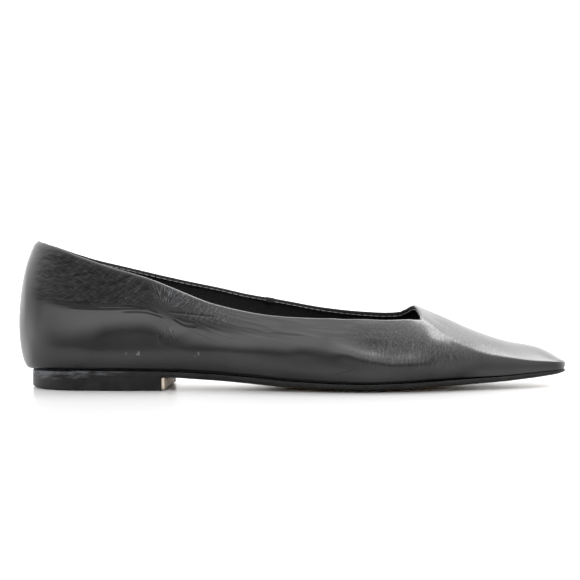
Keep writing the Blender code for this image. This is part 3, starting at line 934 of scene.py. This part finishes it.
def collar_frame(surface, normals):
    """Directions at each collar point: out of the leather, up off its edge, and along the edge."""
    collar, points = surface["collar"], surface["points"]
    here = points[collar]
    along = np.roll(here, -1, axis=0) - np.roll(here, 1, axis=0)
    along /= np.linalg.norm(along, axis=1, keepdims=True)
    out = normals[collar]
    edge = here - points[surface["below"]]
    edge = edge - out * np.sum(edge * out, axis=1, keepdims=True)
    edge = edge - along * np.sum(edge * along, axis=1, keepdims=True)
    edge /= np.linalg.norm(edge, axis=1, keepdims=True)
    edge = (np.roll(edge, 1, axis=0) + 2 * edge + np.roll(edge, -1, axis=0)) / 4
    edge /= np.linalg.norm(edge, axis=1, keepdims=True)
    return out, edge, along


def loop_quads(loops):
    """Quads between closed loops of point numbers that follow each other."""
    quads = []
    for a, b in zip(loops, loops[1:]):
        quads.append(np.stack((a, np.roll(a, -1), np.roll(b, -1), b), axis=1))
    return np.concatenate(quads)


def leather_shell(surface):
    """Closed leather: outside, folded collar edge with its inside band, slot for the lining, and back."""
    points, quads, collar = surface["points"], surface["quads"], surface["collar"]
    normals = point_normals(points, quads)
    out, edge, _ = collar_frame(surface, normals)
    here = points[collar]
    turns = np.radians(np.linspace(0, FOLD_TURN, FOLD_POINTS + 1)[1:])
    profile = [(FOLD_RADIUS * (math.cos(turn) - 1), FOLD_RADIUS * math.sin(turn)) for turn in turns]
    profile += [(-inward, up) for inward, up in BAND]
    join = np.where(here[:, 1] > 0, JOIN_SIZE * window(here[:, 0], *JOIN, JOIN_FADE), 0.0)[:, None]
    count = len(points)
    inside = points - LEATHER * normals
    rings = [here + (out * n + edge * e) * (1 + join) for n, e in profile]
    everything = np.vstack([points, inside] + rings)
    loops = [collar]
    loops += [np.arange(len(collar)) + 2 * count + i * len(collar) for i in range(len(rings))]
    loops.append(collar + count)
    foot = [surface["feather"] + count, surface["feather"]]
    faces = np.concatenate((quads, quads[:, ::-1] + count, loop_quads(loops), loop_quads(foot)))
    dull = np.zeros(len(faces), dtype=int)
    band = 2 * len(quads) + np.array((FOLD_GLOSSY, len(loops) - 1)) * len(collar)
    dull[band[0]:band[1]] = 1
    return everything, faces, dull


def lining_shell(surface):
    """Thin closed lining behind the leather, its top edge tucked into the slot."""
    points, quads = surface["points"].copy(), surface["quads"]
    normals = point_normals(points, quads)
    _, edge, _ = collar_frame(surface, normals)
    points[surface["collar"]] -= LINING_TUCK * edge
    count = len(points)
    everything = np.vstack((points - LINING_FACE * normals, points - LINING_BACK * normals))
    rims = [np.stack((loop, loop + count)) for loop in (surface["collar"], surface["feather"])]
    faces = np.concatenate([quads, quads[:, ::-1] + count] + [loop_quads(rim) for rim in rims])
    return everything, faces


def outsole_top(s, c):
    return sole_size("height", s) - sole_size("crown", s) * (1 - c * c)


def outsole_bottom(s, c):
    """Underside of the outsole, flattened where it rests on the floor."""
    return np.maximum(outsole_top(s, c) - sole_size("thick", s), 0.0)


def heel_bottom(s, c):
    """Flat on the floor, worn up a little at the very back."""
    back = HEEL_CENTRE - FEATHER_BACK - SOLE_MARGIN
    return HEEL_WEAR * np.maximum(1.0 - (s - back) / HEEL_WEAR_RUN, 0.0) ** 2


def sole_rows(ring, margin, columns, surface):
    """Points straight across the sole at each section, at the height that surface gives."""
    s, outer_half, _ = feather_plan(ring, OUTER, margin)
    _, inner_half, _ = feather_plan(ring, INNER, margin)
    c = columns[None, :]
    half = inner_half[:, None] * np.maximum(c, 0) - outer_half[:, None] * np.maximum(-c, 0)
    s = np.broadcast_to(s[:, None], half.shape)
    return place(s, half, INNER, surface(s, np.broadcast_to(c, half.shape)))


def plate(ring, edge, top, bottom):
    """Closed plate whose edge goes through rows of (margin, share of the way from top to bottom)."""
    columns = np.linspace(-1.0, 1.0, SOLE_COLUMNS + 1)

    def level(share):
        return lambda s, c: top(s, c) * (1 - share) + bottom(s, c) * share

    rows = [sole_rows(ring, margin, columns, level(share)) for margin, share in edge]
    sides = [np.stack([row[:, column] for row in rows], axis=1) for column in (0, -1)]
    ends = [np.stack([row[end] for row in rows], axis=1) for end in (0, -1)]
    points, quads, _, owner, _ = weld([rows[0], rows[-1]] + sides + ends)
    return points, quads, owner


def locate_shift():
    """Shift from the shoe's frame to the part's, from the corner of the breast cover."""
    ring = (np.array([SIDE, SIDE]), np.array([BREAST + GAP, BREAST + GAP + BREAST_THICKNESS]))
    corners = sole_rows(ring, SOLE_MARGIN - BREAST_INSET, np.array([-1.0, 1.0]), heel_bottom).reshape(-1, 3)
    low = np.array(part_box("heel_breast")[0]) / MM
    return np.array([low[0] - corners[:, 0].min(), low[1] - corners[:, 1].min(), 0.0])


SHIFT = locate_shift()


def to_world(points):
    return (points + SHIFT) * MM


def make_piece(name, points, faces, materials, indices=None, node=None, carried=None):
    """Mesh object from points in millimetres, riding on the one body, with vectors carried on its points."""
    mesh = bmesh.new()
    layers = {key: mesh.verts.layers.float_vector.new(key) for key in carried or ()}
    verts = [mesh.verts.new(point) for point in to_world(points)]
    for key, layer in layers.items():
        for vert, vector in zip(verts, carried[key].tolist()):
            vert[layer] = vector
    for i, face in enumerate(faces.tolist()):
        corners = list(dict.fromkeys(face))
        if len(corners) < 3:
            continue
        made = mesh.faces.new([verts[n] for n in corners])
        made.smooth = True
        made.material_index = 0 if indices is None else int(indices[i])
    bmesh.ops.delete(mesh, geom=[v for v in mesh.verts if not v.link_faces], context="VERTS")
    bmesh.ops.recalc_face_normals(mesh, faces=mesh.faces)
    data = bpy.data.meshes.new(name)
    mesh.to_mesh(data)
    mesh.free()
    for material in materials:
        data.materials.append(material)
    piece = bpy.data.objects.new(name, data)
    bpy.context.collection.objects.link(piece)
    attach(piece, "root")
    if node:
        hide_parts(node)
    return piece


def set_inputs(tree, node, inputs):
    """Link or set inputs of a shader node."""
    for name, value in inputs.items():
        if isinstance(value, bpy.types.NodeSocket):
            tree.links.new(value, node.inputs[name])
        else:
            node.inputs[name].default_value = value


def add(tree, kind, inputs=None, **settings):
    """One shader node, with its settings and its inputs linked or set."""
    made = tree.nodes.new(kind)
    for name, value in settings.items():
        setattr(made, name, value)
    set_inputs(tree, made, inputs or {})
    return made


def noise(tree, vector, scale, detail, dimensions="3D", **inputs):
    inputs = {"Vector": vector, "Scale": scale, "Detail": detail, **inputs}
    return add(tree, "ShaderNodeTexNoise", inputs, noise_dimensions=dimensions).outputs["Fac"]


def bump(tree, height, strength, depth, **inputs):
    """Normal of a relief whose full height is a depth in millimetres."""
    inputs = {"Height": height, "Strength": strength, "Distance": depth * MM, **inputs}
    return add(tree, "ShaderNodeBump", inputs).outputs["Normal"]


def ramp(tree, factor, *stops):
    made = add(tree, "ShaderNodeValToRGB", {"Fac": factor})
    elements = made.color_ramp.elements
    while len(elements) < len(stops):
        elements.new(0.5)
    for element, (position, colour) in zip(elements, stops):
        element.position = position
        element.color = (*colour, 1.0) if len(colour) == 3 else colour
    return made.outputs["Color"]


def mix_colour(tree, factor, first, second):
    inputs = {MIX_FACTOR: factor, MIX_FIRST: first, MIX_SECOND: second}
    return add(tree, "ShaderNodeMix", inputs, data_type="RGBA").outputs[MIX_RESULT]


def stretch(tree, value, low, high):
    """0 at low, 1 at high, straight between them."""
    inputs = {"Value": value, "From Min": low, "From Max": high}
    return add(tree, "ShaderNodeMapRange", inputs).outputs["Result"]


def add_up(tree, value, factor, total=None):
    """A value times a factor, added to the total so far, if there is one."""
    if total is None:
        return add(tree, "ShaderNodeMath", {0: value, 1: factor}, operation="MULTIPLY").outputs[0]
    return add(tree, "ShaderNodeMath", {0: value, 1: factor, 2: total}, operation="MULTIPLY_ADD").outputs[0]


def spot_share(tree, place_of, spot, size, core, strength=1.0):
    """Strength inside a round spot, easing from its core to 0 at its rim."""
    reach = add(tree, "ShaderNodeVectorMath", {0: place_of, 1: Vector(spot)}, operation="DISTANCE")
    inputs = {"Value": reach.outputs["Value"], "From Min": size * MM, "From Max": core * size * MM,
              "To Max": strength}
    return add(tree, "ShaderNodeMapRange", inputs, interpolation_type="SMOOTHSTEP").outputs["Result"]


def new_material(name):
    material = bpy.data.materials.new(name)
    material.use_nodes = True
    tree = material.node_tree
    return material, tree, tree.nodes["Principled BSDF"]


def place_on_part(tree):
    return add(tree, "ShaderNodeTexCoord").outputs["Object"]


def leather_material(name):
    """Smooth leather: close pores, slow tone changes and a soft gloss."""
    dark, light, roughness, gloss, grain = PLAIN_LEATHERS[name]
    material, tree, shader = new_material(name)
    place_of = place_on_part(tree)
    tone = ramp(tree, noise(tree, place_of, *TONE_NOISE), *zip(TONE_RANGE, (dark, light)))
    pores = add(tree, "ShaderNodeTexVoronoi", {"Vector": place_of, "Scale": PORE_SCALE}).outputs["Distance"]
    fine = bump(tree, pores, grain, PORE_DEPTH)
    broad = bump(tree, noise(tree, place_of, *PEBBLE_NOISE), grain, PEBBLE_DEPTH, Normal=fine)
    set_inputs(tree, shader, {
        "Base Color": tone,
        "Normal": broad,
        "Roughness": roughness,
        "Specular IOR Level": gloss,
    })
    return material


def edge_material():
    """Black paint on sole edge and heel, duller than the leather, scuffed grey along the top at the back."""
    material, tree, shader = new_material("black_edge")
    place_of = place_on_part(tree)
    parts = add(tree, "ShaderNodeSeparateXYZ", {"Vector": place_of}).outputs
    back, front = (np.array(SCUFF_RANGE) + SHIFT[0]) * MM
    low, high = np.array(SCUFF_HEIGHTS) * MM
    paint = ramp(tree, noise(tree, place_of, *PAINT_NOISE), *zip(PAINT_RANGE, (PAINT_DARK, PAINT_LIGHT)))
    where = add_up(tree, stretch(tree, parts["X"], front, back), stretch(tree, parts["Z"], low, high))
    drawn_out = add(tree, "ShaderNodeMapping", {"Vector": place_of, "Scale": SCUFF_SCALES}).outputs["Vector"]
    scrape = noise(tree, drawn_out, *SCUFF_NOISE, Roughness=WORN_ROUGHNESS)
    share = ramp(tree, add_up(tree, scrape, where), *zip(SCUFF_EDGE, (BLACK, WHITE)))
    set_inputs(tree, shader, {
        "Base Color": mix_colour(tree, share, paint, SCUFF_COLOUR),
        "Roughness": PAINT_ROUGHNESS,
        "Specular IOR Level": PAINT_GLOSS,
    })
    return material


def breast_material():
    """Bare tan leather of the heel's front face, blotched, darker at its inner lower corner."""
    material, tree, shader = new_material("tan_breast")
    place_of = place_on_part(tree)
    drawn_out = add(tree, "ShaderNodeMapping", {"Vector": place_of, "Scale": BLOTCH_SHAPE}).outputs["Vector"]
    blotch = noise(tree, drawn_out, *BLOTCH_NOISE, Roughness=WORN_ROUGHNESS)
    dark_corner = spot_share(tree, place_of, to_world(np.array(DARK_CORNER)), DARK_CORNER_SIZE, DARK_CORNER_CORE)
    set_inputs(tree, shader, {
        "Base Color": mix_colour(tree, dark_corner, ramp(tree, blotch, *TAN_STOPS), DARK_CORNER_COLOUR),
        "Normal": bump(tree, blotch, BLOTCH_STRENGTH, BLOTCH_DEPTH),
        "Roughness": TAN_ROUGHNESS,
    })
    return material


def add_pattern(tree, sums, name, depth, pale, dark):
    """Add one pattern of fine wear: to the leather's height, pale strokes (worn finish and painted
    highlight) and furrows (painted shade).
    """
    carried = add(tree, "ShaderNodeAttribute", attribute_name=name).outputs["Vector"]
    strength = add(tree, "ShaderNodeSeparateXYZ", {"Vector": carried}).outputs["Z"]
    height = noise(tree, carried, *WEAR_NOISE, dimensions="2D", Distortion=WEAR_DISTORTION)
    parts = (
        ("height", height, depth),
        ("pale", stretch(tree, height, *STROKE), pale),
        ("dark", stretch(tree, height, *FURROW), dark),
    )
    for key, value, share in parts:
        if share:
            sums[key] = add_up(tree, add_up(tree, value, strength), share, sums[key])


def add_crease(tree, sums, name):
    """Take one group of thin creases off the leather's height, and lower its gloss there as painted shade.
    """
    carried = add(tree, "ShaderNodeAttribute", attribute_name=name).outputs["Vector"]
    parts = add(tree, "ShaderNodeSeparateXYZ", {"Vector": carried}).outputs
    square = add_up(tree, parts["X"], parts["X"])
    fall = add_up(tree, square, -1.0 / CREASE_WIDTH ** 2)
    groove = add(tree, "ShaderNodeMath", {0: fall}, operation="EXPONENT").outputs[0]
    depth = add_up(tree, groove, parts["Y"])
    sums["height"] = add_up(tree, depth, -1.0, sums["height"])
    # Painted shade in the crease: its depth lowers the gloss
    sums["dark"] = add_up(tree, depth, CREASE_SHADE, sums["dark"])


def worn_leather(creases, nicks):
    """Black leather with fine grain, wear patterns, thin creases and pale nicks. Its pale strokes are partly
    painted highlight; the lowered gloss in creases, furrows and along the foot is painted shade.
    """
    material, tree, shader = new_material("black_leather")
    place_of = place_on_part(tree)
    grain = noise(tree, place_of, *GRAIN_NOISE)
    sums = {"height": add_up(tree, grain, GRAIN_DEPTH), "pale": None, "dark": None}
    for row in WEAR:
        add_pattern(tree, sums, *row)
    for name in creases:
        add_crease(tree, sums, name)
    tones = zip(TONE_RANGE, (LEATHER_DARK, LEATHER_LIGHT))
    colour = ramp(tree, noise(tree, place_of, *TONE_NOISE), *tones)
    # Pale strokes: partly worn finish, partly painted highlight on the crests
    colour = mix_colour(tree, sums["pale"], colour, PALE)
    for spot, size, strength in nicks:
        share = spot_share(tree, place_of, spot, size, NICK_CORE, strength)
        colour = mix_colour(tree, share, colour, NICK_COLOUR)
    # Gloss lowered in creases, furrows and along the foot: painted shade
    gloss = add(tree, "ShaderNodeMapRange", {"Value": sums["dark"], "To Min": GLOSS, "To Max": GLOSS_DEEP})
    set_inputs(tree, shader, {
        "Base Color": colour,
        "Normal": bump(tree, sums["height"], 1.0, 1.0),
        "Roughness": LEATHER_ROUGHNESS,
        "Specular IOR Level": gloss.outputs["Result"],
    })
    return material


def on_outer_wall(surface, x, z):
    """Point of the outer side nearest to a place seen from that side, in the part's frame."""
    points = surface["points"][surface["across"] == OUTER]
    nearest = np.argmin(np.hypot(points[:, 0] - x, points[:, 2] - z))
    return to_world(points[nearest])


def make_upper(surface):
    points, faces, dull = leather_shell(surface)
    patterns = wear(surface["points"], surface["across"], surface["ahead"])
    creases = crease_lines(surface["points"], surface["across"])
    nicks = [(on_outer_wall(surface, x, z), size, strength) for x, z, size, strength in NICKS]
    materials = [worn_leather(creases, nicks), leather_material("dull_band")]
    return make_piece("leather_upper", points, faces, materials, dull, node="upper",
                      carried={**patterns, **creases})


def make_lining(surface):
    points, faces = lining_shell(surface)
    return make_piece("lining", points, faces, [leather_material("black_lining")])


def make_stitches(surface):
    """Row of thread along the band inside the collar, each stitch thick in its middle."""
    out, edge, _ = collar_frame(surface, point_normals(surface["points"], surface["quads"]))
    row = surface["points"][surface["collar"]] - out * STITCH_DEPTH - edge * STITCH_DROP
    line, wide, high = (np.vstack((values, values[:1])) for values in (row, edge, out))
    run = np.concatenate(([0.0], np.cumsum(np.linalg.norm(np.diff(line, axis=0), axis=1))))

    def at(values, distance):
        return np.stack([np.interp(distance, run, values[:, axis]) for axis in range(3)], axis=-1)

    shares = np.linspace(0, math.pi, STITCH_RINGS)[:, None, None]
    turns = np.linspace(0, 2 * math.pi, STITCH_SIDES, endpoint=False)[None, :, None]
    ids = np.arange(STITCH_RINGS * STITCH_SIDES).reshape(STITCH_RINGS, STITCH_SIDES)
    ids[0], ids[-1] = ids[0, 0], ids[-1, 0]
    points, faces = [], []
    for number, middle in enumerate(np.arange(STITCH_PITCH, run[-1] - STITCH_PITCH, STITCH_PITCH)):
        distance = middle - STITCH_LENGTH / 2 * np.cos(shares[:, 0, 0])
        centre, up, across = (at(values, distance)[:, None] for values in (line, high, wide))
        around = np.cos(turns) * across - np.sin(turns) * up
        points.append((centre + STITCH_RADIUS * np.sin(shares) * around).reshape(-1, 3))
        faces.append(loop_quads(ids) + number * ids.size)
    return make_piece("collar_stitches", np.vstack(points), np.concatenate(faces),
                      [leather_material("grey_thread")])


def make_outsole(black):
    ring = ring_of(SOLE_STEPS)
    over_heel = (ring[0] == HEEL) | ((ring[0] == SIDE) & (ring[1] < BREAST + SEAT_LAP))
    edge = [(np.where(over_heel & (share > SEAT_SHARE), SOLE_MARGIN, margin), share)
            for margin, share in SOLE_EDGE]
    points, faces, owner = plate(ring, edge, outsole_top, outsole_bottom)
    column = np.arange(np.sum(owner == UNDERSIDE)) % SOLE_COLUMNS
    under = np.zeros(len(faces), int)
    under[owner == UNDERSIDE] = (column >= BLACK_MARGIN_COLUMNS) & (column < SOLE_COLUMNS - BLACK_MARGIN_COLUMNS)
    return make_piece("worn_outsole", points, faces, [black, leather_material("tan_sole")], under,
                      node="outsole")


def make_sock():
    ring = ring_of(SOLE_STEPS)
    keep = ring[0] != TOE
    front = TOE_CENTRE + FEATHER_FRONT - INSOLE_FRONT_INSET
    ring = (np.append(ring[0][keep], SIDE), np.append(ring[1][keep], front))
    points, faces, _ = plate(ring, SOCK_EDGE, lambda s, c: outsole_top(s, c) + GAP + INSOLE_THICKNESS,
                             lambda s, c: outsole_top(s, c) + GAP)
    return make_piece("sock", points, faces, [leather_material("black_sock")], node="insole")


def make_heel(black):
    back = np.linspace(0, math.pi / 2, HEEL_STEPS["round"], endpoint=False)
    side = np.linspace(HEEL_CENTRE, BREAST, HEEL_STEPS["side"] + 1)
    ring = (np.repeat((HEEL, SIDE), (len(back), len(side))), np.concatenate((back, side)))
    points, faces, _ = plate(ring, HEEL_EDGE, lambda s, c: outsole_bottom(s, c) - HEEL_SEAM, heel_bottom)
    return make_piece("worn_heel", points, faces, [black], node="heel_block")


def make_breast():
    along = np.linspace(BREAST + BREAST_BACK, BREAST + GAP + BREAST_THICKNESS, BREAST_STEPS + 1)
    ring = (np.full(len(along), SIDE), along)
    points, faces, _ = plate(ring, BREAST_EDGE, lambda s, c: outsole_bottom(s, c) - BREAST_SEAM,
                             lambda s, c: np.full_like(s, BREAST_CLEARANCE))
    return make_piece("breast_cover", points, faces, [breast_material()], node="heel_breast")


def make_floor():
    corners = [(x * FLOOR_HALF, y * FLOOR_HALF, 0.0) for x, y in ((-1, -1), (1, -1), (1, 1), (-1, 1))]
    data = bpy.data.meshes.new("floor")
    data.from_pydata(corners, [], [(0, 1, 2, 3)])
    floor = bpy.data.objects.new("floor", data)
    floor.location.z = -FLOOR_DROP
    bpy.context.collection.objects.link(floor)
    material, tree, shader = new_material("white_floor")
    white = (FLOOR_WHITE, FLOOR_WHITE, FLOOR_WHITE, 1.0)
    set_inputs(tree, shader, {"Base Color": white, "Roughness": FLOOR_ROUGHNESS})
    data.materials.append(material)


def aim(thing, target):
    thing.rotation_euler = (Vector(target) - thing.location).to_track_quat("-Z", "Y").to_euler()


def make_window():
    data = bpy.data.lights.new("window", "AREA")
    data.shape = "RECTANGLE"
    data.size, data.size_y = WINDOW_SIZE
    data.energy = WINDOW_POWER
    light = bpy.data.objects.new("window", data)
    bpy.context.collection.objects.link(light)
    light.location = WINDOW_PLACE
    aim(light, WINDOW_TARGET)


def make_world():
    world = bpy.data.worlds.new("tent")
    world.use_nodes = True
    background = world.node_tree.nodes["Background"]
    background.inputs["Color"].default_value = WHITE
    background.inputs["Strength"].default_value = TENT_TONE
    bpy.context.scene.world = world


def curtain_material():
    material, tree, shader = new_material("dim_curtain")
    shade = add(tree, "ShaderNodeAttribute", attribute_name="tone").outputs["Fac"]
    set_inputs(tree, shader, {
        "Emission Strength": shade,
        "Emission Color": WHITE,
        "Base Color": BLACK,
        "Specular IOR Level": 0.0,
    })
    return material


def make_curtain():
    """Bent curtain on the camera's side, dim low down, that shows in gloss but not in the picture."""
    turns, rises = (np.linspace(0.0, 1.0, count + 1) for count in CURTAIN_GRID)
    left, right = CURTAIN_ANGLES
    angle, height = np.meshgrid(left + (right - left) * turns, rises, indexing="ij")
    low = smooth(CURTAIN_TONES, CURTAIN_TONE_FIELDS, "tone", height)
    side = np.zeros_like(angle)
    for way, (start, end) in zip((-1, 1), CURTAIN_FADES):
        side += ease((way * angle - start) / (end - start))
    tone = TENT_TONE * (low + (1 - low) * side)
    turn = np.radians(angle)
    x, y = CURTAIN_RADIUS * np.sin(turn), -CURTAIN_RADIUS * np.cos(turn)
    points, quads, _, _, kept = weld([np.stack((x, y, CURTAIN_HEIGHT * height), axis=-1)])
    data = bpy.data.meshes.new("curtain")
    data.from_pydata(points.tolist(), [], quads.tolist())
    shades = data.attributes.new("tone", "FLOAT", "POINT").data
    shades.foreach_set("value", tone.reshape(-1)[kept].astype(np.float32))
    data.materials.append(curtain_material())
    curtain = bpy.data.objects.new("curtain", data)
    bpy.context.collection.objects.link(curtain)
    curtain.visible_camera = False
    curtain.visible_diffuse = False


def make_studio():
    bpy.context.scene.view_settings.view_transform = "Standard"
    make_world()
    make_curtain()
    make_window()


def make_camera():
    data = bpy.data.cameras.new("camera")
    data.sensor_width = SENSOR
    data.lens = FOCAL_PIXELS / IMAGE_PIXELS * SENSOR
    camera = bpy.data.objects.new("camera", data)
    bpy.context.collection.objects.link(camera)
    target = to_world(np.array(CAMERA_AIM))
    tilt = math.radians(CAMERA_ELEVATION)
    offset = CAMERA_DISTANCE * MM * np.array([0.0, -math.cos(tilt), math.sin(tilt)])
    camera.location = Vector(target + offset)
    aim(camera, target)
    bpy.context.scene.camera = camera


def main():
    fine = upper_surface(LEATHER_STEPS)
    make_upper(fine)
    make_stitches(fine)
    make_lining(upper_surface(LINING_STEPS))
    black_edge = edge_material()
    make_outsole(black_edge)
    make_sock()
    make_heel(black_edge)
    make_breast()
    make_floor()
    make_studio()
    make_camera()


main()
